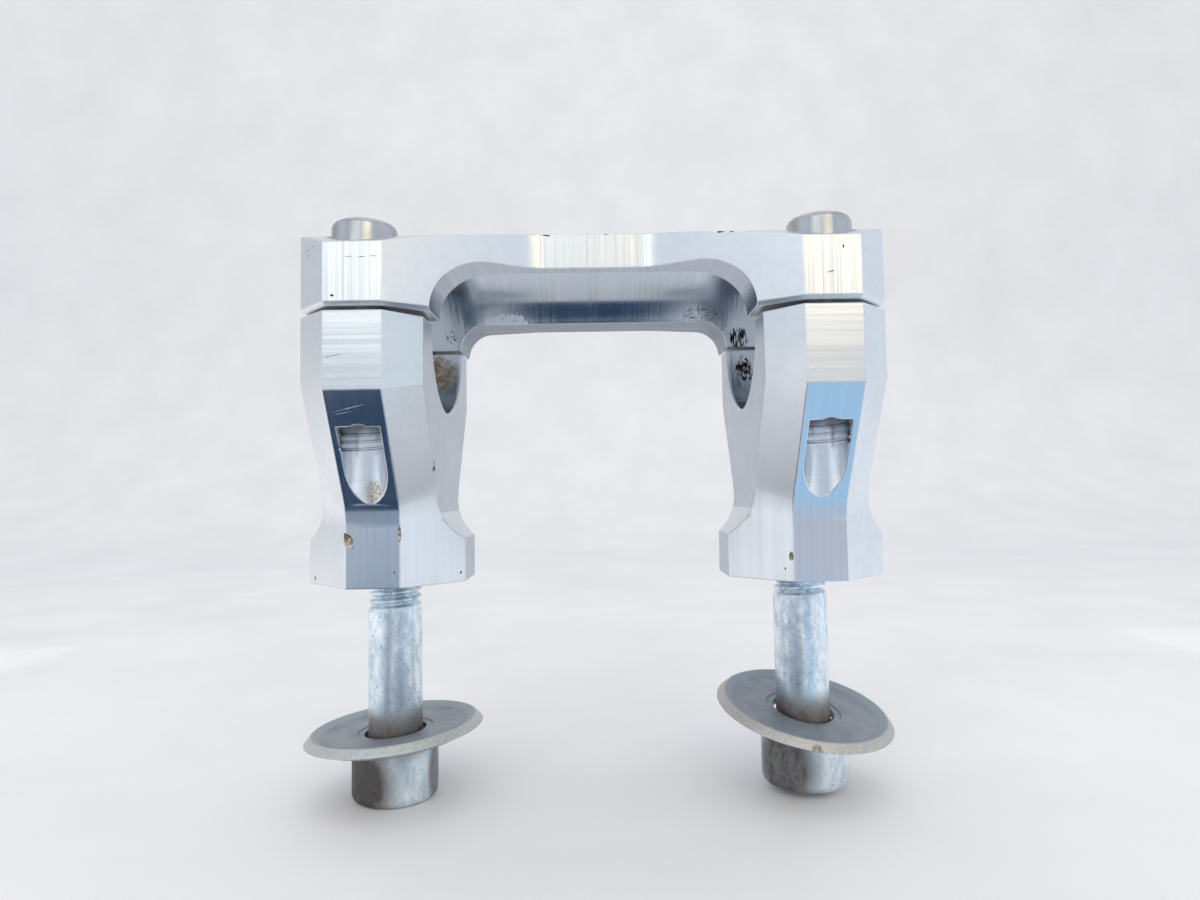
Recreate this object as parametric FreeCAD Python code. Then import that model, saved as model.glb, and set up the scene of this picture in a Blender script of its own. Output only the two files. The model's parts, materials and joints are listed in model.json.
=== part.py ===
import FreeCAD, Part
import math
import os

V = FreeCAD.Vector
os.makedirs("parts", exist_ok=True)

# Handlebar riser: two octagonal risers under one bridge clamp, for a round bar.
# Millimetres. X runs along the handlebar, -Y is the front, Z is up along the bolts.
# Z = 0 is the plane on which the risers stand.

# Layout of the pair
riser_spacing = 77.6
bar_diameter = 28.6
bar_fit = 0.06
clamp_gap = 0.65
screw_spacing = 38.8

# Riser: upper block, slanted middle and octagonal foot
riser_height = 46.0
front_flat_width = 9.5
head_width = 20.6
head_depth = 53.2
head_side_height = 12.9
slant_angle = 30.3
foot_width = 28.8
foot_depth = 30.0
slant_blend_radius = 10.0
foot_side_height = 8.0
flare_radius = 9.0
rim_chamfer = 0.5

# Relief under each clamp screw
relief_width = 7.1
relief_ceiling = 27.4
tap_depth = 22.3

# Bridge clamp
bridge_crown_height = 17.25
bridge_crown_radius = 56.0
bridge_edge_bevel = 0.7
front_recess = 13.2
front_recess_width = 20.4
rear_recess = 4.6
rear_recess_width = 25.0
recess_blend_radius = 8.0
front_arch_width = 54.4
front_arch_height = 9.45
front_arch_radius = 9.4
rear_arch_width = 57.0
rear_arch_height = 5.4
rear_arch_radius = 5.3

# Clamp screws
screw_diameter = 8.0
screw_length = 25.0
screw_head_diameter = 11.6
screw_head_height = 8.0
screw_head_bevel = 0.9
screw_tip_bevel = 0.4
screw_socket = 6.0
screw_socket_depth = 4.0
screw_seat_height = 7.4
screw_clearance = 0.25
head_clearance = 0.4
thread_clearance = 0.05

# Base bolts
bolt_diameter = 10.0
bolt_thread_diameter = 9.7
bolt_length = 50.0
bolt_thread_length = 25.0
bolt_head_diameter = 16.0
bolt_head_height = 10.0
bolt_head_bevel = 1.0
bolt_tip_bevel = 0.45
bolt_shank_step = 0.4
bolt_socket = 8.0
bolt_socket_depth = 5.0
bolt_hole_depth = 24.0
left_bolt_reach = 30.3
right_bolt_reach = 29.0

# Cup washers
washer_diameter = 33.0
washer_hole = 11.4
washer_floor = 1.6
washer_height = 2.6
washer_rim_width = 1.2
washer_crest = 0.4
washer_edge_height = 1.3
washer_cone_width = 3.2
washer_inner_slope = 1.7
washer_ring_width = 1.2
washer_ring_depth = 0.25
left_washer_roll = -4.3
left_washer_pitch = 0.8
right_washer_roll = 7.4
right_washer_pitch = -9.8
washer_seat_gap = 0.02

# How far a cut runs past the surface that it leaves
cut_overrun = 1.0

# Values that follow from the sizes above
half_spacing = riser_spacing / 2
bore_radius = bar_diameter / 2 + bar_fit
bar_height = riser_height + clamp_gap / 2
bridge_bottom = riser_height + clamp_gap
screw_y = screw_spacing / 2
seat_z = bridge_bottom + screw_seat_height
half_head = head_depth / 2
half_foot = foot_depth / 2
half_flat = front_flat_width / 2
break_z = riser_height - head_side_height
corner_cut = foot_width / 2 - half_flat


def rounded_wire(points, place):
    """Closed outline from (u, v, radius) corners, with each corner rounded by its radius."""
    count = len(points)
    starts = []
    ends = []
    arcs = []
    for i in range(count):
        u, v, radius = points[i]
        corner = V(u, v, 0)
        before = V(points[i - 1][0], points[i - 1][1], 0).sub(corner).normalize()
        after = V(points[(i + 1) % count][0], points[(i + 1) % count][1], 0).sub(corner).normalize()
        if radius <= 0:
            starts.append(corner)
            ends.append(corner)
            arcs.append(None)
            continue
        half = before.getAngle(after) / 2
        reach = radius / math.tan(half)
        first = corner.add(V(before).multiply(reach))
        last = corner.add(V(after).multiply(reach))
        inward = V(before).add(after).normalize()
        middle = corner.add(inward.multiply(radius / math.sin(half) - radius))
        starts.append(first)
        ends.append(last)
        arcs.append(middle)
    edges = []
    for i in range(count):
        if arcs[i] is not None:
            edges.append(Part.Arc(place(starts[i]), place(arcs[i]), place(ends[i])).toShape())
        following = starts[(i + 1) % count]
        if ends[i].sub(following).Length > 1e-6:
            edges.append(Part.LineSegment(place(ends[i]), place(following)).toShape())
    return Part.Wire(edges)


def prism(points, place, along):
    """Solid made by pushing a rounded outline along a vector."""
    return Part.Face(rounded_wire(points, place)).extrude(along)


def cylinder(radius, height, base, axis=V(0, 0, 1)):
    return Part.makeCylinder(radius, height, base, axis)


def hexagon(across_flats, height, base):
    """Hexagonal prism for a key socket, standing on base."""
    radius = across_flats / math.sqrt(3)
    corners = [V(radius * math.cos(math.radians(60 * i)), radius * math.sin(math.radians(60 * i)), 0)
               for i in range(6)]
    face = Part.Face(Part.makePolygon([base.add(c) for c in corners + corners[:1]]))
    return face.extrude(V(0, 0, height))


def turned(points):
    """Solid turned about Z from a closed outline of (radius, z, rounding) corners."""
    face = Part.Face(rounded_wire(points, lambda p: V(p.x, 0, p.y)))
    return face.revolve(V(0, 0, 0), V(0, 0, 1), 360)


# Riser side view, drawn at a given distance inside the finished outline
def side_wire(inset, x):
    angle = math.radians(slant_angle)
    upper = half_head - inset
    lower = half_foot - inset
    turn_z = break_z + inset * math.tan(angle / 2)
    toe_z = turn_z - (upper - lower) / math.tan(angle)
    blend = slant_blend_radius + inset
    top = riser_height + cut_overrun
    half = [(upper, top, 0), (upper, turn_z, 0), (lower, toe_z, blend), (lower, -cut_overrun, 0)]
    points = half + [(-y, z, radius) for y, z, radius in reversed(half)]
    return rounded_wire(points, lambda p: V(x, p.x, p.y))


def riser_body():
    """Octagonal body about its own bolt axis: flats, chamfered corners and flared foot."""
    core = Part.Face(side_wire(0, -half_flat)).extrude(V(front_flat_width, 0, 0))
    body = core
    for side in (-1, 1):
        near = side_wire(0, side * half_flat)
        far = side_wire(corner_cut, side * foot_width / 2)
        body = body.fuse(Part.makeLoft([near, far], True, True))
    # Foot and joint face milled level
    body = body.common(Part.makeBox(foot_width, head_depth, riser_height,
                                    V(-foot_width / 2, -half_head, 0))).removeSplitter()
    # Sides narrowed above the foot, with a concave flare down to it
    reach = head_depth
    half_top = head_width / 2
    half_base = foot_width / 2
    sag = half_base - half_top
    drop = math.sqrt(flare_radius ** 2 - (flare_radius - sag) ** 2)
    turn = math.acos((flare_radius - sag) / flare_radius) / 2
    for side in (-1, 1):
        start = V(side * half_top, -reach, foot_side_height + drop)
        middle = V(side * (half_top + flare_radius * (1 - math.cos(turn))), -reach,
                   foot_side_height + drop - flare_radius * math.sin(turn))
        end = V(side * half_base, -reach, foot_side_height)
        above = V(side * half_top, -reach, riser_height + cut_overrun)
        outer_top = V(side * (half_base + cut_overrun), -reach, riser_height + cut_overrun)
        outer_low = V(side * (half_base + cut_overrun), -reach, foot_side_height)
        edges = [Part.LineSegment(above, start).toShape(), Part.Arc(start, middle, end).toShape(),
                 Part.LineSegment(end, outer_low).toShape(), Part.LineSegment(outer_low, outer_top).toShape(),
                 Part.LineSegment(outer_top, above).toShape()]
        body = body.cut(Part.Face(Part.Wire(edges)).extrude(V(0, 2 * reach, 0)))
    return body


def bore_cut(x, width):
    """Bar bore with a small chamfer at both rims, along X from x."""
    axis = V(1, 0, 0)
    cut = cylinder(bore_radius, width, V(x, 0, bar_height), axis)
    rim = bore_radius + rim_chamfer
    cut = cut.fuse(Part.makeCone(rim, bore_radius, rim_chamfer, V(x, 0, bar_height), axis))
    far_rim = V(x + width - rim_chamfer, 0, bar_height)
    return cut.fuse(Part.makeCone(bore_radius, rim, rim_chamfer, far_rim, axis))


def riser():
    body = riser_body()
    body = body.cut(bore_cut(-head_width / 2, head_width))
    tap_radius = screw_diameter / 2 + thread_clearance
    relief_radius = relief_width / 2
    for side in (-1, 1):
        centre = side * screw_y
        tapped = cylinder(tap_radius, tap_depth + cut_overrun, V(0, centre, riser_height - tap_depth))
        channel = cylinder(relief_radius, relief_ceiling, V(0, centre, 0))
        mouth = Part.makeBox(relief_width, half_head, relief_ceiling,
                             V(-relief_radius, centre if side > 0 else centre - half_head, 0))
        body = body.cut(tapped).cut(channel.fuse(mouth))
    bolt_radius = bolt_thread_diameter / 2 + thread_clearance
    return body.cut(cylinder(bolt_radius, bolt_hole_depth, V(0, 0, 0)))


# Bridge clamp: plan outline, crowned roof, arch underneath, bar groove and screw pockets
def bridge():
    end_x = half_spacing + head_width / 2
    flat_out = half_spacing + half_flat
    flat_in = half_spacing - half_flat
    corner_y = half_head - (head_width / 2 - half_flat)
    front_mid = half_head - front_recess
    rear_mid = half_head - rear_recess
    right = [(front_recess_width / 2, -front_mid, recess_blend_radius), (flat_in, -half_head, 0),
             (flat_out, -half_head, 0), (end_x, -corner_y, 0), (end_x, corner_y, 0),
             (flat_out, half_head, 0), (flat_in, half_head, 0),
             (rear_recess_width / 2, rear_mid, recess_blend_radius)]
    plan = right + [(-x, y, r) for x, y, r in reversed(right)]
    crown_z = bridge_bottom + bridge_crown_height
    block = prism(plan, lambda p: V(p.x, p.y, bridge_bottom), V(0, 0, bridge_crown_height))
    foot_edges = [e for e in block.Edges if e.BoundBox.ZMax < bridge_bottom + 1e-6]
    block = block.makeChamfer(bridge_edge_bevel, foot_edges)
    roof = cylinder(bridge_crown_radius, 2 * end_x, V(-end_x, 0, crown_z - bridge_crown_radius), V(1, 0, 0))
    body = block.common(roof)

    def arch(width, height, radius, y, depth):
        below = bridge_bottom - cut_overrun
        top = bridge_bottom + height
        outline = [(-width / 2, below, 0), (width / 2, below, 0), (width / 2, top, radius),
                   (-width / 2, top, radius)]
        return prism(outline, lambda p: V(p.x, y, p.y), V(0, depth, 0))

    body = body.cut(arch(front_arch_width, front_arch_height, front_arch_radius, -head_depth, head_depth))
    body = body.cut(arch(rear_arch_width, rear_arch_height, rear_arch_radius, 0, head_depth))
    body = body.cut(bore_cut(-end_x, 2 * end_x))
    for x in (-half_spacing, half_spacing):
        for y in (-screw_y, screw_y):
            body = body.cut(cylinder(screw_diameter / 2 + screw_clearance, bridge_crown_height,
                                     V(x, y, bridge_bottom)))
            body = body.cut(cylinder(screw_head_diameter / 2 + head_clearance, bridge_crown_height,
                                     V(x, y, seat_z)))
    return body


# Clamp screw: head seat at z = 0, shank downwards
def clamp_screw():
    shank = screw_diameter / 2
    head = screw_head_diameter / 2
    outline = [(0, -screw_length, 0), (shank - screw_tip_bevel, -screw_length, 0),
               (shank, -screw_length + screw_tip_bevel, 0), (shank, 0, 0), (head, 0, 0),
               (head, screw_head_height - screw_head_bevel, 0),
               (head - screw_head_bevel, screw_head_height, 0), (0, screw_head_height, 0)]
    body = turned(outline)
    socket_floor = V(0, 0, screw_head_height - screw_socket_depth)
    return body.cut(hexagon(screw_socket, screw_socket_depth, socket_floor))


# Base bolt: head bearing face at z = 0, head below, shank and thread upwards
def base_bolt():
    shank_end = bolt_length - bolt_thread_length
    shank = bolt_diameter / 2
    head = bolt_head_diameter / 2
    thread = bolt_thread_diameter / 2
    outline = [(0, -bolt_head_height, 0), (head - bolt_head_bevel, -bolt_head_height, 0),
               (head, -bolt_head_height + bolt_head_bevel, 0), (head, 0, 0), (shank, 0, 0),
               (shank, shank_end - bolt_shank_step, 0), (thread, shank_end, 0),
               (thread, bolt_length - bolt_tip_bevel, 0), (thread - bolt_tip_bevel, bolt_length, 0),
               (0, bolt_length, 0)]
    body = turned(outline)
    return body.cut(hexagon(bolt_socket, bolt_socket_depth, V(0, 0, -bolt_head_height)))


# Cup washer: under face at z = 0, raised rim upwards
def cup_washer():
    outer = washer_diameter / 2
    crest = outer - washer_rim_width
    hole = washer_hole / 2
    floor_edge = crest - washer_crest - washer_inner_slope
    outline = [(hole, 0, 0), (outer - washer_cone_width, 0, 0), (outer, washer_edge_height, 0),
               (crest, washer_height, 0), (crest - washer_crest, washer_height, 0),
               (floor_edge, washer_floor, 0), (hole + washer_ring_width, washer_floor, 0),
               (hole + washer_ring_width, washer_floor - washer_ring_depth, 0),
               (hole, washer_floor - washer_ring_depth, 0)]
    return turned(outline)


def seated_washer(x, reach, roll, pitch):
    """Loose washer, leaning on the edge of its bolt head."""
    body = cup_washer()
    middle = V(0, 0, washer_floor / 2)
    body.rotate(middle, V(0, 1, 0), roll)
    body.rotate(middle, V(1, 0, 0), -pitch)
    tilt = math.acos(math.cos(math.radians(roll)) * math.cos(math.radians(pitch)))
    lift = bolt_head_diameter / 2 * math.tan(tilt) + washer_floor / 2 * (1 / math.cos(tilt) - 1)
    body.translate(V(x, 0, -reach + lift + washer_seat_gap))
    return body


def save(shape, name):
    shape.exportStep(os.path.join("parts", name + ".step"))


save(bridge(), "top_bridge")

left = riser()
left.translate(V(-half_spacing, 0, 0))
save(left, "left_riser")
right = riser()
right.translate(V(half_spacing, 0, 0))
save(right, "right_riser")

for side, x in (("left", -half_spacing), ("right", half_spacing)):
    for end, y in (("front", -screw_y), ("rear", screw_y)):
        screw = clamp_screw()
        screw.translate(V(x, y, seat_z))
        save(screw, end + "_" + side + "_clamp_screw")

for side, x, reach in (("left", -half_spacing, left_bolt_reach), ("right", half_spacing, right_bolt_reach)):
    bolt = base_bolt()
    bolt.translate(V(x, 0, -reach))
    save(bolt, side + "_base_bolt")

save(seated_washer(-half_spacing, left_bolt_reach, left_washer_roll, left_washer_pitch), "left_cup_washer")
save(seated_washer(half_spacing, right_bolt_reach, right_washer_roll, right_washer_pitch), "right_cup_washer")
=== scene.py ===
import json
import math

import bmesh
import bpy
import numpy as np
from mathutils import Matrix, Vector
from mathutils import noise as rough_noise


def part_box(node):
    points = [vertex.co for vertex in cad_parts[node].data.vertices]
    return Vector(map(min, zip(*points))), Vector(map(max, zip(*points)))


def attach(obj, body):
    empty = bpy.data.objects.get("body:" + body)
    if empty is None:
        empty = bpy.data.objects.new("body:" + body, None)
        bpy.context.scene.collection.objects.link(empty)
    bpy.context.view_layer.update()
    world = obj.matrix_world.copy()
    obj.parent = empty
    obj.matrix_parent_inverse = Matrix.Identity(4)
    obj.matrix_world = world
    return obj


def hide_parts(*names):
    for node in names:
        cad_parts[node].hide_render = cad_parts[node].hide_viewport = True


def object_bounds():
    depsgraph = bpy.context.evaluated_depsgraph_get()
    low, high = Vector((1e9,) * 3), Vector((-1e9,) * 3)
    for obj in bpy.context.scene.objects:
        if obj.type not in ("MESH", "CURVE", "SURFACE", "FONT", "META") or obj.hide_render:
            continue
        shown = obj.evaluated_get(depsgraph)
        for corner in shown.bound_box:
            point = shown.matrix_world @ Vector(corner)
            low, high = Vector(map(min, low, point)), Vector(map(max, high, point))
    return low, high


# Handlebar riser: two milled aluminium risers under a bridge clamp, with worn zinc-plated
# fasteners and two cup washers. Sizes are millimetres until mm turns them into metres.

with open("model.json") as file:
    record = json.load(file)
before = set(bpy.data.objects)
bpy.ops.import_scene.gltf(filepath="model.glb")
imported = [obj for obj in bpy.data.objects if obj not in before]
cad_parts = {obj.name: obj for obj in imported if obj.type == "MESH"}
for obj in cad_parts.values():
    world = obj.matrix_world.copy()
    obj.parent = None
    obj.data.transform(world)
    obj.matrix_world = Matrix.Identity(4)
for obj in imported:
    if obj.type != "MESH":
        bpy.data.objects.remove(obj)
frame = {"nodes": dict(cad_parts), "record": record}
cad_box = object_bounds()
mm = 0.001

# Places read from the frame
bar_mount = next(m for m in frame["record"]["mounts"] if m["name"] == "handlebar_clamp")
bar_z = bar_mount["pos_m"][2] / mm
bore_radius = bar_mount["dims"]["r_mm"]
low_corner = cad_box[0] / mm
riser_low, riser_high = (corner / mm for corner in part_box("right_riser"))
riser_x = (riser_low.x + riser_high.x) / 2
riser_front = -riser_low.y
screw_low, screw_high = (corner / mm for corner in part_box("front_right_clamp_screw"))
screw_y = -(screw_low.y + screw_high.y) / 2
arch_inset = 9.0
arch_half_width = riser_x - arch_inset


# Colours and nodes


def linear(hex_colour):
    """Turns an sRGB hex colour into linear red, green, blue and alpha."""
    parts = [int(hex_colour[i:i + 2], 16) / 255 for i in (1, 3, 5)]
    return [c / 12.92 if c <= 0.04045 else ((c + 0.055) / 1.055) ** 2.4 for c in parts] + [1.0]


def add(tree, kind, inputs=None, out=0, **settings):
    """Adds a node and gives one of its outputs. An input is an output to link, a hex colour or a value."""
    node = tree.nodes.new("ShaderNode" + kind)
    for name, value in settings.items():
        setattr(node, name, value)
    for socket, value in (inputs or {}).items():
        if isinstance(value, bpy.types.NodeSocket):
            tree.links.new(value, node.inputs[socket])
        else:
            node.inputs[socket].default_value = linear(value) if isinstance(value, str) else value
    return node.outputs[out] if node.outputs else None


def new_finish(name, metallic, roughness):
    """Empty material with its shader and the millimetre place on the piece."""
    material = bpy.data.materials.new(name)
    material.use_nodes = True
    tree = material.node_tree
    shader = tree.nodes["Principled BSDF"]
    shader.inputs["Metallic"].default_value = metallic
    shader.inputs["Roughness"].default_value = roughness
    metres = add(tree, "TexCoord", out="Object")
    place = add(tree, "VectorMath", {0: metres, "Scale": 1 / mm}, operation="SCALE")
    return material, tree, shader, place


def grain(tree, place, size, detail=3.0, roughness=0.55):
    """Pattern from 0 to 1 whose grain has the given size in millimetres along X, Y and Z."""
    mapped = add(tree, "Mapping", {"Vector": place, "Scale": [1 / s for s in size]})
    return add(tree, "TexNoise",
               {"Vector": mapped, "Scale": 1.0, "Detail": detail, "Roughness": roughness})


def near(tree, place, centre, reach):
    """1 at a point in millimetres, falling to 0 at the given reach along X, Y and Z."""
    shifted = add(tree, "VectorMath", {0: place, 1: centre}, operation="SUBTRACT")
    scaled = add(tree, "VectorMath", {0: shifted, 1: reach}, operation="DIVIDE")
    length = add(tree, "VectorMath", {0: scaled}, "Value", operation="LENGTH")
    return add(tree, "MapRange", {0: length, 1: 0.35, 2: 1.0, 3: 1.0, 4: 0.0},
               interpolation_type="SMOOTHSTEP")


# Finishes


def milled_aluminium(name, mark_size, pale, dark, roughness, swing, mark_height, band_share, stains_and_sheen=()):
    """Clear-anodised aluminium: a pale blue-grey metal whose cutter marks draw out its highlights.

    mark_size is the grain of the marks along X, Y and Z: short across the cut, long along it.
    Real feed marks are about 0.1 mm apart, so they are drawn coarser to show at all. Wider bands lie
    over them. Each listed patch is a colour, its centre and reach, the size of its flecks, how much it
    covers and how softly it ends. Most patches are real stains and wear; some are painted highlights.
    """
    stain_and_sheen_edge, stain_and_sheen_roughness = 0.93, 0.3
    material, tree, shader, place = new_finish(name, 1.0, roughness)
    marks = grain(tree, place, mark_size, 4.0, 0.65)
    bands = grain(tree, place, [5 * s for s in mark_size], 5.0, 0.7)
    haze = grain(tree, place, [9.0] * 3, 4.0)
    streak = add(tree, "Mix", {0: band_share, 2: marks, 3: bands})
    share = add(tree, "MapRange", {0: streak, 1: 0.36, 2: 0.64})
    colour = add(tree, "Mix", {0: share, 6: dark, 7: pale}, 2, data_type="RGBA")
    rough = add(tree, "MapRange", {0: share, 1: 0.0, 2: 1.0, 3: roughness + swing, 4: roughness - swing})
    clouded = add(tree, "MapRange", {0: haze, 1: 0.35, 2: 0.75, 3: 0.0, 4: 0.05})
    rough = add(tree, "Math", {0: rough, 1: clouded}, operation="ADD")
    # Patches: real stains and wear, and painted highlights.
    for stain_and_sheen_colour, centre, reach, flecks, cover, softness in stains_and_sheen:
        spread = near(tree, place, centre, reach)
        fleck = grain(tree, place, flecks, 5.0, 0.7)
        total = add(tree, "Math", {0: spread, 1: cover, 2: fleck}, operation="MULTIPLY_ADD")
        amount = add(tree, "MapRange", {0: total, 1: stain_and_sheen_edge - softness, 2: stain_and_sheen_edge + softness})
        colour = add(tree, "Mix", {0: amount, 6: colour, 7: stain_and_sheen_colour}, 2, data_type="RGBA")
        rough = add(tree, "Math", {0: amount, 1: stain_and_sheen_roughness, 2: rough}, operation="MULTIPLY_ADD")
    tree.links.new(colour, shader.inputs["Base Color"])
    tree.links.new(rough, shader.inputs["Roughness"])
    relief = add(tree, "Bump", {"Height": streak, "Strength": 1.0, "Distance": mark_height * mm})
    tree.links.new(relief, shader.inputs["Normal"])
    return material


def torn_aluminium(name, low_colour, high_colour):
    """Bare aluminium where the skin is broken: rough and bright, duller in the low places."""
    material, tree, shader, place = new_finish(name, 1.0, 0.5)
    lumps = grain(tree, place, [0.7] * 3, 4.0)
    share = add(tree, "MapRange", {0: lumps, 1: 0.42, 2: 0.6})
    colour = add(tree, "Mix", {0: share, 6: low_colour, 7: high_colour}, 2, data_type="RGBA")
    tree.links.new(colour, shader.inputs["Base Color"])
    rough = add(tree, "MapRange", {0: share, 1: 0.0, 2: 1.0, 3: 0.75, 4: 0.4})
    tree.links.new(rough, shader.inputs["Roughness"])
    relief = add(tree, "Bump", {"Height": lumps, "Strength": 1.0, "Distance": 0.15 * mm})
    tree.links.new(relief, shader.inputs["Normal"])
    return material


def ground_in_dirt():
    """Dry black road dirt pressed into a nick: dull, with a little brown."""
    material, tree, shader, place = new_finish("ground_in_dirt", 0.0, 0.85)
    crumbs = grain(tree, place, [0.25] * 3)
    colour = add(tree, "Mix", {0: crumbs, 6: "#16171B", 7: "#55483E"}, 2, data_type="RGBA")
    tree.links.new(colour, shader.inputs["Base Color"])
    return material


def zinc_plated_steel(name, pale, dull, roughness, blotch, pitting, patches):
    """Worn zinc plate: soft grey metal, clouded, with dark pits, and grime where no tool reaches.

    patches are the grimy places: (colour, centre, reach along X, Y and Z, how much grime).
    """
    material, tree, shader, place = new_finish(name, 1.0, roughness)
    clouds = grain(tree, place, [blotch, blotch, 1.8 * blotch], 4.0, 0.6)
    pits = grain(tree, place, [0.5, 0.5, 0.7], 3.0, 0.6)
    share = add(tree, "MapRange", {0: clouds, 1: 0.36, 2: 0.62})
    colour = add(tree, "Mix", {0: share, 6: dull, 7: pale}, 2, data_type="RGBA")
    pitted = add(tree, "MapRange", {0: pits, 1: 0.3, 2: 0.42, 3: pitting, 4: 0.0})
    colour = add(tree, "Mix", {0: pitted, 6: colour, 7: "#6F7780"}, 2, data_type="RGBA")
    speck = add(tree, "Mix", {0: 0.7, 2: pits, 3: clouds})
    rough = add(tree, "MapRange", {0: share, 1: 0.0, 2: 1.0, 3: roughness + 0.08, 4: roughness - 0.05})
    for grime, centre, reach, cover in patches:
        spread = near(tree, place, centre, reach)
        total = add(tree, "Math", {0: spread, 1: cover, 2: speck}, operation="MULTIPLY_ADD")
        amount = add(tree, "MapRange", {0: total, 1: 0.7, 2: 1.6})
        crumbs = add(tree, "Mix", {0: pitted, 6: grime, 7: "#35312F"}, 2, data_type="RGBA")
        colour = add(tree, "Mix", {0: amount, 6: colour, 7: crumbs}, 2, data_type="RGBA")
        rough = add(tree, "Math", {0: amount, 1: 0.2, 2: rough}, operation="MULTIPLY_ADD")
    tree.links.new(colour, shader.inputs["Base Color"])
    tree.links.new(rough, shader.inputs["Roughness"])
    relief = add(tree, "Bump", {"Height": speck, "Strength": 1.0, "Distance": 0.015 * mm})
    tree.links.new(relief, shader.inputs["Normal"])
    return material


def phosphated_washer_steel(name, floor_colour, cloud_colour, slope_colour, worn_colour,
                            stain_centre, stain_reach):
    """Phosphated steel: matt blue-grey, rubbed pale along the rim, with an olive-brown stain."""
    material, tree, shader, place = new_finish(name, 0.7, 0.5)
    rim = add(tree, "Attribute", out="Fac", attribute_name="rim_wear")
    fine = grain(tree, place, [0.5] * 3, 4.0)
    broad = grain(tree, place, [5.0] * 3, 4.0)
    cloud = add(tree, "MapRange", {0: broad, 1: 0.35, 2: 0.65})
    colour = add(tree, "Mix", {0: cloud, 6: floor_colour, 7: cloud_colour}, 2, data_type="RGBA")
    slope = add(tree, "MapRange", {0: rim, 1: 0.02, 2: 0.25})
    colour = add(tree, "Mix", {0: slope, 6: colour, 7: slope_colour}, 2, data_type="RGBA")
    rubbed = add(tree, "Math", {0: fine, 1: 0.8, 2: rim}, operation="MULTIPLY_ADD")
    rubbed = add(tree, "MapRange", {0: rubbed, 1: 1.15, 2: 1.48})
    colour = add(tree, "Mix", {0: rubbed, 6: colour, 7: worn_colour}, 2, data_type="RGBA")
    spread = near(tree, place, stain_centre, stain_reach)
    stained = add(tree, "Math", {0: spread, 1: 0.5, 2: fine}, operation="MULTIPLY_ADD")
    stained = add(tree, "MapRange", {0: stained, 1: 0.75, 2: 1.15})
    colour = add(tree, "Mix", {0: stained, 6: colour, 7: olive_stain}, 2, data_type="RGBA")
    tree.links.new(colour, shader.inputs["Base Color"])
    rough = add(tree, "MapRange", {0: fine, 1: 0.3, 2: 0.7, 3: 0.42, 4: 0.58})
    tree.links.new(rough, shader.inputs["Roughness"])
    relief = add(tree, "Bump", {"Height": fine, "Strength": 1.0, "Distance": 0.03 * mm})
    tree.links.new(relief, shader.inputs["Normal"])
    return material


LONG = 60.0
# Pale of clamp fretting wear, which also serves as a painted highlight.
fretted_pale_and_sheen = "#F0F4F8"
black_grease = "#14181F"
brown_grease = "#2A2622"
tan_soil = "#A08B70"
olive_stain = "#6E644F"

upright_marks = milled_aluminium("aluminium_milled_upright", [0.24, LONG, LONG], "#F1F2F4", "#C8CDD4",
                                 0.3, 0.08, 0.004, 0.3)
level_marks = milled_aluminium("aluminium_milled_level", [LONG, LONG, 0.3], "#ECEEF1", "#C9CED4",
                               0.28, 0.07, 0.004, 0.5)
lengthwise_marks = milled_aluminium("aluminium_milled_lengthwise", [LONG, 0.4, LONG], "#E6E8EB", "#D2D6DC",
                                    0.32, 0.07, 0.006, 0.4)
bright_slant = milled_aluminium("aluminium_bright_slant", [0.6, LONG, LONG], "#E6E9ED", "#DADEE4",
                                0.13, 0.03, 0.001, 0.4)
satin_flank = milled_aluminium("aluminium_satin_flank", [1.6, 1.6, 1.6], "#E4E7EB", "#DCE0E5",
                               0.36, 0.02, 0.003, 0.5)
fine_marks = milled_aluminium("aluminium_milled_fine", [0.24, LONG, LONG], "#EFF2F5", "#E2E6EB",
                              0.32, 0.04, 0.002, 0.3)
# Riser side faces: a darker copy of the milled finish, as painted shade for the shadow these faces lie in.
side_in_painted_shade = milled_aluminium("aluminium_side_painted_shade", [1.6, 1.6, 1.6], "#C3CAD2", "#BAC1CA",
                             0.34, 0.02, 0.003, 0.5)
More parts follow.
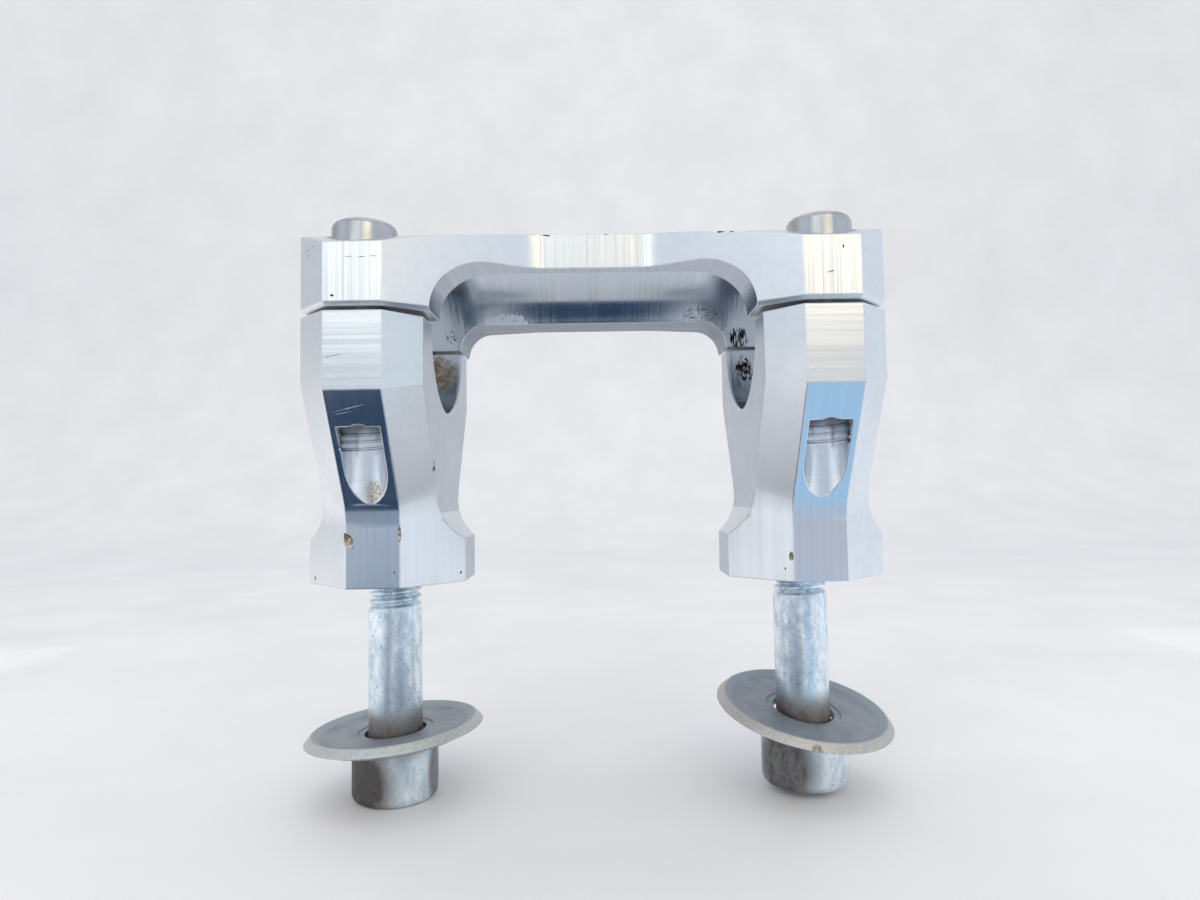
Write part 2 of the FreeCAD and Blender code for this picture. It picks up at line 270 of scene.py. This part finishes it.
# Arch walls under the bridge: darker copies of the milled finish, painted shade; the rear wall is darkest,
# for the shadow it lies in.
front_arch_painted_shade = milled_aluminium("aluminium_front_arch", [0.8, LONG, 0.8], "#B7BFC9", "#A3ACB7",
                              0.22, 0.03, 0.001, 0.4)
rear_arch_painted_shade = milled_aluminium("aluminium_rear_arch", [LONG, 0.8, 0.8], "#747F8D", "#667180",
                             0.26, 0.03, 0.001, 0.4)
bored_groove = milled_aluminium(
    "aluminium_bored", [0.5, LONG, LONG], "#D0D7DF", "#BCC5CF", 0.17, 0.05, 0.004, 0.4,
    # Pale patches on both clamped ends: fretting wear where the risers clamp the bar, and also a painted
    # highlight on the bore's ends.
    [(fretted_pale_and_sheen, (-35.5, 11.0, 48.0), (12.0, 16.0, 15.0), (0.5, 9.0, 9.0), 0.8, 0.3),
     (fretted_pale_and_sheen, (35.5, 11.0, 48.0), (12.0, 16.0, 15.0), (0.5, 9.0, 9.0), 0.8, 0.3),
     # Near-white streak in the bore's rear wall: a painted highlight.
     ("#F4F8FC", (-18.5, 12.8, 52.2), (9.0, 4.0, 3.4), (0.5, 0.7, 1.8), 0.54, 0.04),
     (black_grease, (31.0, 13.9, 48.5), (4.5, 5.0, 4.5), (0.35, 3.0, 2.0), 0.43, 0.04),
     (brown_grease, (32.0, 14.0, 41.5), (3.5, 6.0, 5.5), (0.6, 1.0, 1.2), 0.46, 0.05),
     (black_grease, (23.0, 12.4, 53.6), (8.0, 4.0, 3.4), (1.0, 0.6, 0.2), 0.36, 0.04),
     (black_grease, (-30.5, 13.5, 49.5), (3.0, 4.0, 3.0), (0.4, 0.6, 0.6), 0.36, 0.04),
     (tan_soil, (-34.5, 13.5, 41.0), (9.0, 9.0, 7.5), (1.2, 1.2, 1.2), 0.6, 0.22)])
drilled_relief = milled_aluminium(
    "aluminium_drilled", [LONG, LONG, 0.5], "#F1F3F6", "#E3E7EC", 0.2, 0.04, 0.003, 0.4,
    [("#B09C7A", (-38.3, -15.9, 16.7), (3.3, 4.0, 3.8), (0.3, 0.3, 0.3), 0.44, 0.09)])
chipped = torn_aluminium("aluminium_chipped", "#A3937F", "#E6E1DA")
scratched = torn_aluminium("aluminium_scratched", "#AEB6C0", "#DDE3EA")
dirt = ground_in_dirt()

tan_grime = "#8A7D73"
grey_grime = "#66625F"
dark_grime = "#3A3633"
clamp_screw_zinc = zinc_plated_steel("zinc_nickel_screw_steel", "#BBBDC0", "#ADB0B4", 0.27, 3.0, 0.0, [])
left_bolt_zinc = zinc_plated_steel(
    "zinc_plated_left_bolt_steel", "#F0F9FF", "#CCDDE8", 0.34, 1.5, 0.55,
    [(tan_grime, (-38.8, 0, -28.2), (14.0, 14.0, 7.5), 0.95),
     (grey_grime, (-44.0, -6.0, -36.0), (10.5, 12.0, 11.0), 1.15),
     (grey_grime, (-30.9, -2.0, -35.5), (2.2, 4.0, 9.0), 0.9),
     (dark_grime, (-38.8, 0, -30.3), (12.0, 12.0, 1.8), 1.0)])
right_bolt_zinc = zinc_plated_steel(
    "zinc_plated_right_bolt_steel", "#F0F8FF", "#C9D8E3", 0.32, 1.5, 0.5,
    [(tan_grime, (38.8, 0, -26.7), (14.0, 14.0, 7.5), 1.0),
     (grey_grime, (33.0, -6.0, -34.5), (10.0, 12.0, 11.0), 1.0),
     (dark_grime, (38.8, 0, -29.0), (12.0, 12.0, 1.8), 1.0)])
left_washer_grey = phosphated_washer_steel(
    "phosphated_left_washer", "#8A919C", "#9EA3AB", "#A3ABB3", "#C9CCCA",
    (-32.2, -14.5, -28.9), (1.5, 2.5, 1.5))
right_washer_grey = phosphated_washer_steel(
    "phosphated_right_washer", "#87909A", "#9AA1A9", "#98A4AE", "#C6C1B9",
    (36.8, -15.8, -28.4), (1.7, 2.5, 1.7))


# Meshes

weld_reach = 0.002
flat_angle = 0.3
level_shelf = 0.99
tapped_reach = 4.2


def finish_piece(name, bm, finishes, replaced=None, sharp_angle=34.0):
    """Turns a bmesh into a piece of the part, riding on the one body.

    Shading is weighted by face size, so that a broken edge doesn't cloud the flats beside it.
    """
    mesh = bpy.data.meshes.new(name)
    bm.to_mesh(mesh)
    bm.free()
    for finish in finishes:
        mesh.materials.append(finish)
    mesh.shade_smooth()
    mesh.set_sharp_from_angle(angle=math.radians(sharp_angle))
    piece = bpy.data.objects.new(name, mesh)
    bpy.context.scene.collection.objects.link(piece)
    shading = piece.modifiers.new("flat_faces_first", "WEIGHTED_NORMAL")
    shading.keep_sharp = True
    shading.weight = 80
    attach(piece, "root")
    if replaced:
        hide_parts(replaced)
    return piece


def in_tapped_hole(place):
    return place.z > 0 and math.hypot(abs(place.x) - riser_x, abs(place.y) - screw_y) < tapped_reach


def broken_edges(node, edge_round, sharp_angle=25.0):
    """Copy of a solid whose machined edges are broken by a small rounding.

    The shelf where a tapped hole ends is too narrow for it, so its edges stay sharp.
    """
    bm = bmesh.new()
    bm.from_mesh(frame["nodes"][node].data)
    bmesh.ops.remove_doubles(bm, verts=bm.verts, dist=weld_reach * mm)
    bmesh.ops.dissolve_limit(bm, angle_limit=math.radians(flat_angle), verts=bm.verts, edges=bm.edges)
    shelves = [f for f in bm.faces
               if f.normal.z > level_shelf and all(in_tapped_hole(v.co / mm) for v in f.verts)]
    left_sharp = {edge for shelf in shelves for edge in shelf.edges}
    edges = [e for e in bm.edges
             if e.calc_face_angle(0.0) > math.radians(sharp_angle) and e not in left_sharp]
    bmesh.ops.bevel(bm, geom=edges, offset=edge_round * mm, offset_type="OFFSET", segments=2, profile=0.5,
                    affect="EDGES", clamp_overlap=False, miter_outer="SHARP", miter_inner="SHARP")
    bmesh.ops.recalc_face_normals(bm, faces=bm.faces)
    return bm


def jagged_cutter(bm, marks):
    """Adds the lumps that cut chips and nicks: (centre, along, half sizes, finish number)."""
    largest_wobble, wobble_scale = 0.45, 1.7
    for centre, along, half_sizes, finish in marks:
        lump = bmesh.ops.create_icosphere(bm, subdivisions=2, radius=1.0)["verts"]
        forward = Vector(along).normalized()
        aside = forward.orthogonal().normalized()
        turn = Matrix((forward, aside, forward.cross(aside))).transposed()
        for vert in lump:
            swing = min(largest_wobble, half_sizes[1])
            wobble = 1 + swing * rough_noise.noise(vert.co * wobble_scale + Vector(centre))
            vert.co = (turn @ (vert.co * Vector(half_sizes)) * wobble + Vector(centre)) * mm
        for face in {f for v in lump for f in v.link_faces}:
            face.material_index = finish


def scarred(bm, marks, finishes):
    """Cuts the marks out of a piece, with their own finishes on the cut."""
    solids = []
    for part in (bm, bmesh.new()):
        if part is not bm:
            jagged_cutter(part, marks)
        mesh = bpy.data.meshes.new("scar_step")
        part.to_mesh(mesh)
        part.free()
        for finish in finishes:
            mesh.materials.append(finish)
        solid = bpy.data.objects.new("scar_step", mesh)
        bpy.context.scene.collection.objects.link(solid)
        solids.append(solid)
    cut = solids[0].modifiers.new("scars", "BOOLEAN")
    cut.operation = "DIFFERENCE"
    cut.solver = "EXACT"
    cut.object = solids[1]
    scene_graph = bpy.context.evaluated_depsgraph_get()
    result = bmesh.new()
    result.from_mesh(solids[0].evaluated_get(scene_graph).to_mesh())
    for solid in solids:
        bpy.data.meshes.remove(solid.data)
    return result


# Aluminium pieces

aluminium = [upright_marks, level_marks, lengthwise_marks, bright_slant, satin_flank, bored_groove,
             drilled_relief, fine_marks, side_in_painted_shade, front_arch_painted_shade, rear_arch_painted_shade, chipped, scratched, dirt]
(UPRIGHT, LEVEL, LENGTHWISE, SLANT, SATIN, BORED, DRILLED, FINE, SIDE_IN_PAINTED_SHADE, FRONT_ARCH_PAINTED_SHADE, REAR_ARCH_PAINTED_SHADE, CHIPPED,
 SCRATCHED, DIRT) = range(len(aluminium))


# How a face lies, as the share of its normal along an axis, and where, in millimetres
face_on = 0.95
edge_on = 0.3
roof_tilt = 0.4
upright_tilt = 0.1
slant_aside = 0.2
slant_tilt = 0.9
half_facing = 0.5
bore_margin = 0.35
front_margin = 0.5
middle_half_width = 14.0
slant_least_y = 14.0
drilled_reach = 4.3
foot_top = 15.0


def on_bar_bore(place):
    return abs(math.hypot(place.y, place.z - bar_z) - bore_radius) < bore_margin


def on_front_or_back(place):
    return abs(place.y) > riser_front - front_margin


def bridge_finish(place, facing):
    if on_bar_bore(place) and abs(facing.x) < edge_on:
        return BORED
    if facing.z > roof_tilt:
        return LENGTHWISE
    # The arch walls take the darker copies of the milled finish: painted shade.
    if abs(place.x) < arch_half_width and abs(facing.y) < edge_on:
        return FRONT_ARCH_PAINTED_SHADE if place.y < 0 else REAR_ARCH_PAINTED_SHADE
    if abs(facing.y) > face_on and (on_front_or_back(place) or abs(place.x) < middle_half_width):
        return UPRIGHT
    return SATIN


def riser_finish(place, facing):
    aside = abs(place.x) - riser_x
    from_screw = math.hypot(aside, abs(place.y) - screw_y)
    if on_bar_bore(place) and abs(facing.x) < edge_on:
        return BORED
    if abs(facing.z) < upright_tilt and from_screw < drilled_reach:
        return DRILLED
    if abs(facing.y) > face_on and on_front_or_back(place):
        return LEVEL
    if abs(facing.x) < slant_aside and abs(facing.z) < slant_tilt and abs(place.y) > slant_least_y:
        return SLANT
    if place.z < foot_top and abs(facing.y) > half_facing and place.x * facing.x < 0:
        return FINE
    # Side faces get the darker copy of the milled finish: painted shade.
    if abs(facing.x) > face_on:
        return SIDE_IN_PAINTED_SHADE
    return SATIN


def dress(bm, chooser):
    for face in bm.faces:
        face.material_index = chooser(face.calc_center_median() / mm, face.normal)


bridge_marks = [
    ((-8.2, -13.7, 62.1), (1, 0, 0), (1.3, 0.5, 0.35), DIRT),
    ((2.6, -13.6, 62.2), (1, 0, 0), (0.8, 0.4, 0.25), DIRT),
    ((8.6, -13.7, 62.2), (1, 0, 0), (0.5, 0.35, 0.25), DIRT),
    ((11.7, -14.6, 61.9), (1, -0.5, 0), (0.6, 0.35, 0.25), DIRT),
    ((21.9, -20.0, 60.2), (1, -0.5, 0), (0.8, 0.4, 0.25), DIRT),
    ((23.6, -20.9, 59.9), (1, -0.5, 0), (0.5, 0.35, 0.22), DIRT),
    ((-41.9, -26.7, 48.3), (1, 0, 0), (0.4, 0.25, 0.2), DIRT),
    ((40.5, -26.7, 55.2), (0, 0, 1), (0.45, 0.2, 0.15), DIRT),
    ((38.4, -26.6, 51.1), (1, 0, 0.3), (0.7, 0.08, 0.3), SCRATCHED),
    ((-46.5, -23.64, 56.9), (1, -1, 0.17), (2.1, 0.09, 0.09), SCRATCHED),
    ((-46.9, -23.24, 55.8), (1, -1, 0.3), (1.1, 0.08, 0.08), SCRATCHED),
    ((-39.3, -26.6, 54.6), (1, 0, 0), (0.6, 0.08, 0.08), SCRATCHED),
    ((-37.2, -26.6, 54.55), (1, 0, 0.05), (0.7, 0.08, 0.08), SCRATCHED),
    ((-35.2, -26.6, 54.65), (1, 0, 0), (0.6, 0.08, 0.08), SCRATCHED),
]
left_riser_marks = [
    ((-43.2, -15.1, 8.4), (0.6, 0, -1), (1.7, 1.0, 0.7), CHIPPED),
    ((-34.1, -15.1, 9.4), (0, 0, 1), (1.6, 0.45, 0.4), CHIPPED),
    ((-28.5, -12.9, 20.9), (0, 0.4, -1), (1.7, 0.5, 0.45), CHIPPED),
    ((-39.8, -24.95, 30.28), (3.49, -0.42, 0.72), (2.9, 0.08, 0.08), SCRATCHED),
    ((-40.6, -24.55, 29.6), (3.3, -0.3, 0.5), (1.6, 0.06, 0.06), SCRATCHED),
    ((-41.6, -26.6, 38.6), (3.23, 0, 0.59), (1.6, 0.08, 0.08), SCRATCHED),
    ((-51.7, -6.9, 1.2), (0, 0, 1), (0.45, 0.25, 0.2), DIRT),
    ((-35.1, -15.1, 2.8), (0, 0, 1), (0.25, 0.2, 0.15), DIRT),
    ((-25.2, -6.1, 1.7), (0, 0, 1), (0.3, 0.2, 0.15), DIRT),
]
right_riser_marks = [
    ((33.7, -14.7, 4.4), (0, 0, 1), (0.8, 0.6, 0.5), CHIPPED),
    ((32.8, -13.8, 2.2), (0, 0, 1), (0.25, 0.2, 0.15), DIRT),
]

edge_break = 0.16
milled_sharp_angle = 18.0
same_tilt = 0.004
for node, chooser, marks in (("top_bridge", bridge_finish, bridge_marks),
                             ("left_riser", riser_finish, left_riser_marks),
                             ("right_riser", riser_finish, right_riser_marks)):
    solid = broken_edges(node, edge_break)
    dress(solid, chooser)
    solid = scarred(solid, marks, aluminium)
    piece = finish_piece(node + "_milled", solid, aluminium, node, milled_sharp_angle)
    slants = [face for face in piece.data.polygons if face.material_index == SLANT]
    flat_tilt = max(slants, key=lambda face: face.area).normal.z if slants else 0.0
    for face in slants:
        face.use_smooth = abs(face.normal.z - flat_tilt) > same_tilt


# Turned fasteners


def turned(rows, steps, origin):
    """Closed piece turned about Z: rows of (radius, height), where a radius may vary with the angle."""
    bm = bmesh.new()
    rings = []
    for radius, height in rows:
        if radius == 0:
            rings.append([bm.verts.new((Vector((0, 0, height)) + origin) * mm)])
            continue
        ring = []
        for i in range(steps):
            angle = 2 * math.pi * i / steps
            reach = radius(angle, height) if callable(radius) else radius
            ring.append(bm.verts.new((Vector((reach * math.cos(angle), reach * math.sin(angle), height))
                                      + origin) * mm))
        rings.append(ring)
    for below, above in zip(rings, rings[1:]):
        for i in range(steps):
            after = (i + 1) % steps
            corners = [below[i % len(below)], below[after % len(below)],
                       above[after % len(above)], above[i % len(above)]]
            bm.faces.new(list(dict.fromkeys(corners)))
    bmesh.ops.recalc_face_normals(bm, faces=bm.faces)
    return bm


def hexagon(across):
    """Radius of a hexagonal key socket at each angle."""
    def radius(angle, height):
        return across / 2 / math.cos((angle + math.pi / 6) % (math.pi / 3) - math.pi / 6)
    return radius


def thread(crest, depth, pitch, start, end, runout):
    """Radius of a screw thread at each angle and height, fading in and out over the runout."""
    root_share, flank_share = 0.12, 0.62

    def radius(angle, height):
        turn = (height / pitch - angle / (2 * math.pi)) % 1
        flank = min(1.0, max(0.0, (abs(turn - 0.5) * 2 - root_share) / flank_share))
        inside = min((height - start) / runout, (end - height) / runout, 1.0)
        return crest - depth * (1 - flank) * max(0.0, inside)
    return radius


def levels(start, end, pitch, per_turn=12):
    count = round(abs(end - start) / pitch * per_turn)
    return [start + (end - start) * i / count for i in range(count + 1)]


def corner_round(radius_out, height_out, rounding, upward, count=5):
    """Rows round a turned outer corner, from the end face to the side."""
    middle = radius_out - rounding
    centre = height_out - upward * rounding
    turns = [math.pi / 2 * i / count for i in range(count + 1)]
    return [(middle + rounding * math.sin(t), centre + upward * rounding * math.cos(t)) for t in turns]


fastener_steps = 72


def clamp_screw(node, x, y):
    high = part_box(node)[1] / mm
    radius, head_radius, head_top, head_height = 4.0, 5.8, 5.4, 8.0
    pitch, socket, socket_depth, rounding, length = 1.25, 6.0, 4.0, 1.1, 25.0
    drill_radius, drill_depth, key_mouth, key_bevel = 2.4, 0.9, 3.75, 0.45
    thread_depth, thread_end, neck_end, tip_bevel = 0.68, -2.0, -1.5, 0.8
    seat = high.z - head_height
    top = head_height
    floor = top - socket_depth
    key = hexagon(socket)
    rows = [(0, floor - drill_depth), (drill_radius, floor), (key, floor), (key, top - key_bevel),
            (key_mouth, top)]
    rows += corner_round(head_top, top, rounding, 1)
    rows += [(head_radius - 0.12, 0.25), (head_radius - 0.35, 0.0), (radius + 0.35, 0.0), (radius, -0.4)]
    ridge = thread(radius, thread_depth, pitch, -length + tip_bevel / 2, thread_end, pitch)
    rows += [(ridge, z) for z in levels(neck_end, -length + tip_bevel, pitch)]
    rows += [(radius - tip_bevel, -length), (0, -length)]
    bm = turned(rows, fastener_steps, Vector((x, y, seat)))
    finish_piece(node + "_turned", bm, [clamp_screw_zinc], node)


def base_bolt(node, finish):
    low, high = (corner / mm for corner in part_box(node))
    radius, thread_radius, head_radius, head_height = 5.0, 4.85, 8.0, 10.0
    pitch, socket, socket_depth, rounding = 1.5, 8.0, 5.0, 1.2
    drill_radius, drill_depth, key_mouth, key_bevel = 3.2, 1.2, 5.0, 0.5
    thread_length, thread_depth, tip_bevel = 25.0, 0.9, 1.0
    length = high.z - low.z - head_height
    thread_start = length - thread_length
    bearing = low.z + head_height
    floor = -head_height + socket_depth
    key = hexagon(socket)
    rows = [(0, floor + drill_depth), (drill_radius, floor), (key, floor), (key, -head_height + key_bevel),
            (key_mouth, -head_height)]
    rows += corner_round(head_radius, -head_height, rounding, -1)
    rows += [(head_radius, -0.3), (head_radius - 0.3, 0.0), (radius + 0.4, 0.0), (radius, 0.5),
             (radius, thread_start - 0.5), (thread_radius, thread_start)]
    ridge = thread(thread_radius, thread_depth, pitch, thread_start, length - 0.2, 0.8 * pitch)
    rows += [(ridge, z) for z in levels(thread_start + 0.1, length - tip_bevel, pitch)]
    rows += [(thread_radius - tip_bevel, length), (0, length)]
    middle = (low + high) / 2
    bm = turned(rows, fastener_steps, Vector((round(middle.x, 2), 0, bearing)))
    finish_piece(node + "_turned", bm, [finish], node)


for side, x in (("left", -riser_x), ("right", riser_x)):
    for end, y in (("front", -screw_y), ("rear", screw_y)):
        clamp_screw(end + "_" + side + "_clamp_screw", x, y)
base_bolt("left_base_bolt", left_bolt_zinc)
base_bolt("right_base_bolt", right_bolt_zinc)


# Thread cut in each screw relief, below the screw tip


def tapped_turns(name, x, y):
    """Shallow last ridges of the tapped thread, down to the shelf where the hole ends.

    They run out at the open mouth, and the lowest is shorter, to stay behind the slanted face.
    """
    crest, root, wall, pitch = 3.8, 4.12, 3.54, 1.25
    half_ridge, half_crest, least_height = 0.32, 0.08, 0.02
    lowest, ceiling = 24.25, 27.0
    inward = -1 if y > 0 else 1
    full_spread = math.pi - math.asin(wall / root)
    lowest_spread = 1.95
    count = 48
    bm = bmesh.new()
    z = lowest
    while z < ceiling:
        spread = lowest_spread if z == lowest else full_spread
        sections = []
        for i in range(count + 1):
            angle = -spread + 2 * spread * i / count
            aside = math.sin(angle)
            forward = inward * math.cos(angle)
            inner = crest
            if math.cos(angle) < 0:
                inner = max(crest, min(root - least_height, wall / abs(aside)))
            lift = z + pitch * angle / (2 * math.pi)
            outline = [(root, lift - half_ridge), (inner, lift - half_crest),
                       (inner, lift + half_crest), (root, lift + half_ridge)]
            corners = [Vector((x + r * aside, y + r * forward, h)) for r, h in outline]
            sections.append([bm.verts.new(corner * mm) for corner in corners])
        for first, second in zip(sections, sections[1:]):
            for i in range(4):
                bm.faces.new((first[i], first[(i + 1) % 4], second[(i + 1) % 4], second[i]))
        bm.faces.new(sections[0])
        bm.faces.new(sections[-1])
        z += pitch
    bmesh.ops.recalc_face_normals(bm, faces=bm.faces)
    finish_piece(name, bm, [drilled_relief])


for side, x in (("left", -riser_x), ("right", riser_x)):
    for end, y in (("front", -screw_y), ("rear", screw_y)):
        tapped_turns(end + "_" + side + "_tapped_thread", x, y)


# Cup washers


def cup_washer(node, finish):
    """Washer with rubbed edges, and the wear of its rim kept on its points."""
    rubbed_edge, rubbed_angle = 0.12, 18.0
    slope_inset, slope_width = 3.3, 1.7
    rim_inset, rim_width = 1.5, 0.25
    bm = broken_edges(node, rubbed_edge, rubbed_angle)
    points = np.array([v.co for v in bm.verts]) / mm
    centre = points.mean(0)
    axis = np.linalg.svd(points - centre, full_matrices=False)[2][2]
    offsets = points - centre
    along = offsets @ axis
    radii = np.linalg.norm(offsets - np.outer(along, axis), axis=1)
    outer = radii.max()
    piece = finish_piece(node + "_dished", bm, [finish], node)
    slope = np.clip((radii - outer + slope_inset) / slope_width, 0, 1)
    rim = np.clip((radii - outer + rim_inset) / rim_width, 0, 1)
    wear = piece.data.attributes.new("rim_wear", "FLOAT", "POINT")
    wear.data.foreach_set("value", ((slope + rim) / 2).astype(np.float32))


cup_washer("left_cup_washer", left_washer_grey)
cup_washer("right_cup_washer", right_washer_grey)


# Stage: pale floor that curves up into a backdrop


def stage_piece(name, bm, material):
    """Floor or card: part of the studio, not of the object."""
    mesh = bpy.data.meshes.new(name)
    bm.to_mesh(mesh)
    bm.free()
    mesh.shade_smooth()
    mesh.materials.append(material)
    piece = bpy.data.objects.new(name, mesh)
    bpy.context.scene.collection.objects.link(piece)
    return piece


def sweep_floor():
    floor_gap, half_width, backdrop_height = 0.1, 1500.0, 1300.0
    front, bend_start, bend, bend_steps = -1500.0, 500.0, 300.0, 16
    floor_z = low_corner.z - floor_gap
    profile = [(front, 0.0), (-400.0, 0.0), (-100.0, 0.0), (100.0, 0.0), (bend_start, 0.0)]
    turns = [math.pi / 2 * i / bend_steps for i in range(1, bend_steps + 1)]
    profile += [(bend_start + bend * math.sin(t), bend * (1 - math.cos(t))) for t in turns]
    profile += [(bend_start + bend, backdrop_height)]
    bm = bmesh.new()
    lines = [[bm.verts.new(Vector((x, y, floor_z + z)) * mm) for y, z in profile]
             for x in (-half_width, half_width)]
    for i in range(len(profile) - 1):
        bm.faces.new((lines[0][i], lines[1][i], lines[1][i + 1], lines[0][i + 1]))
    bmesh.ops.recalc_face_normals(bm, faces=bm.faces)
    material, tree, shader, place = new_finish("pale_board", 0.0, 0.6)
    patches = grain(tree, place, [60.0] * 3, 4.0)
    share = add(tree, "MapRange", {0: patches, 1: 0.3, 2: 0.7})
    colour = add(tree, "Mix", {0: share, 6: "#E0E1E5", 7: "#E7E8EC"}, 2, data_type="RGBA")
    tree.links.new(colour, shader.inputs["Base Color"])
    stage_piece("floor", bm, material)


def glowing_card(name, quads, left, right, x_turn, strength=1.0):
    """Flat fields seen only in the metal, whose left colour turns to the right one about x_turn."""
    half_blend = 12.0
    bm = bmesh.new()
    for corners in quads:
        bm.faces.new([bm.verts.new(Vector(c) * mm) for c in corners])
    material, tree, shader, place = new_finish(name + "_glow", 0.0, 1.0)
    across = add(tree, "SeparateXYZ", {0: place}, "X")
    side = add(tree, "MapRange", {0: across, 1: x_turn - half_blend, 2: x_turn + half_blend})
    colour = add(tree, "Mix", {0: side, 6: left, 7: right}, 2, data_type="RGBA")
    tree.links.new(colour, shader.inputs["Emission Color"])
    shader.inputs["Emission Strength"].default_value = strength
    shader.inputs["Base Color"].default_value = linear("#000000")
    shader.inputs["Specular IOR Level"].default_value = 0.0
    card = stage_piece(name, bm, material)
    card.visible_camera = False
    card.visible_diffuse = False
    card.visible_shadow = False
    card.visible_transmission = False


def reflection_cards():
    """What the front faces mirror: navy and sky blue close by, grey further off."""
    card_lift = 2.0
    low = low_corner.z + card_lift

    def level_field(x0, x1, y0, y1):
        return [(x0, y0, low), (x1, y0, low), (x1, y1, low), (x0, y1, low)]

    near_fields = [level_field(-82, -44, -88, -36), level_field(-32, 32, -104, -20),
                   level_field(44, 82, -88, -36)]
    middle_fields = [level_field(-140, -44, -330, -88), level_field(44, 140, -330, -88)]
    side_fields = [level_field(-1200, -200, -480, 150), level_field(200, 1200, -300, 150)]
    glowing_card("near_card", near_fields, "#304762", "#ADD5F5", 38.0)
    glowing_card("middle_card", middle_fields, "#92A0B4", "#BCCFE4", 0.0)
    glowing_card("far_card", [level_field(-420, 420, -1300, -330)], "#A9B7CB", "#C6CCDA", 0.0)
    glowing_card("side_card", side_fields, "#FFFFFF", "#EDF6FF", 0.0, 1.2)


def softbox(name, place, aim, width, height, colour, brightness):
    """Area lamp given by the brightness that its face shows."""
    lamp = bpy.data.lights.new(name, "AREA")
    lamp.shape = "RECTANGLE"
    lamp.size = width * mm
    lamp.size_y = height * mm
    lamp.color = linear(colour)[:3]
    lamp.energy = brightness * math.pi * width * height * mm * mm
    holder = bpy.data.objects.new(name, lamp)
    holder.location = Vector(place) * mm
    holder.rotation_euler = (Vector(aim) - Vector(place)).to_track_quat("-Z", "Y").to_euler()
    holder.visible_camera = False
    bpy.context.scene.collection.objects.link(holder)


def studio_light():
    middle = (0.0, 0.0, 40.0)
    softbox("left_daylight", (-182.0, -536.0, 327.0), middle, 300.0, 360.0, "#FFFFEF", 1.25)
    softbox("right_warm_light", (182.0, -536.0, 327.0), middle, 300.0, 360.0, "#FFE9BD", 1.6)
    softbox("overhead", (0.0, 60.0, 900.0), middle, 900.0, 900.0, "#FFFFFF", 0.4)
    world = bpy.data.worlds.new("pale_room")
    bpy.context.scene.world = world
    world.use_nodes = True
    tree = world.node_tree
    tree.nodes.clear()
    direction = add(tree, "TexCoord", out="Generated")
    across = add(tree, "Math", {0: add(tree, "SeparateXYZ", {0: direction}, "X")}, operation="ABSOLUTE")
    height = add(tree, "SeparateXYZ", {0: direction}, "Z")
    aside = add(tree, "MapRange", {0: across, 1: 0.35, 2: 0.85}, interpolation_type="SMOOTHSTEP")
    walls = add(tree, "Mix", {0: aside, 6: "#B9C5D4", 7: "#E8F2FE"}, 2, data_type="RGBA")
    left_rear_corner = (-0.92, 0.35, 0.18)
    corner = add(tree, "VectorMath", {0: direction, 1: left_rear_corner}, "Value",
                 operation="DOT_PRODUCT")
    dim = add(tree, "MapRange", {0: corner, 1: 0.85, 2: 0.98}, interpolation_type="SMOOTHSTEP")
    walls = add(tree, "Mix", {0: dim, 6: walls, 7: "#CDCED2"}, 2, data_type="RGBA")
    upward = add(tree, "MapRange", {0: height, 1: 0.45, 2: 0.8}, interpolation_type="SMOOTHSTEP")
    mirrored = add(tree, "Mix", {0: upward, 6: walls, 7: "#D5DAE0"}, 2, data_type="RGBA")
    glossy_ray = add(tree, "LightPath", out="Is Glossy Ray")
    lit = add(tree, "Mix", {0: glossy_ray, 6: "#FFFFFF", 7: mirrored}, 2, data_type="RGBA")
    camera_ray = add(tree, "LightPath", out="Is Camera Ray")
    shown = add(tree, "Mix", {0: camera_ray, 6: lit, 7: "#E6E8EC"}, 2, data_type="RGBA")
    sky = add(tree, "Background", {"Color": shown, "Strength": 1.0})
    add(tree, "OutputWorld", {"Surface": sky})


def photograph_camera():
    """Wide lens close in front, a little below the bar and looking slightly up."""
    place = Vector((-0.04, -146.28, 16.48))
    yaw, pitch, roll = 0.0062, 0.0528, -0.0160
    focal_pixels, image_width, sensor_width = 754.1, 1200.0, 36.0
    forward = Vector((math.sin(yaw) * math.cos(pitch), math.cos(yaw) * math.cos(pitch), math.sin(pitch)))
    level = Vector((math.cos(yaw), -math.sin(yaw), 0.0))
    upward = level.cross(forward)
    right = math.cos(roll) * level + math.sin(roll) * upward
    up = -math.sin(roll) * level + math.cos(roll) * upward
    lens = bpy.data.cameras.new("camera")
    lens.sensor_width = sensor_width
    lens.lens = focal_pixels / image_width * sensor_width
    lens.clip_start = 5 * mm
    lens.clip_end = 10.0
    camera = bpy.data.objects.new("camera", lens)
    turn = Matrix((right, up, -forward)).transposed()
    camera.matrix_world = Matrix.Translation(place * mm) @ turn.to_4x4()
    bpy.context.scene.collection.objects.link(camera)
    bpy.context.scene.camera = camera


sweep_floor()
reflection_cards()
studio_light()
photograph_camera()
bpy.context.scene.view_settings.view_transform = "Standard"
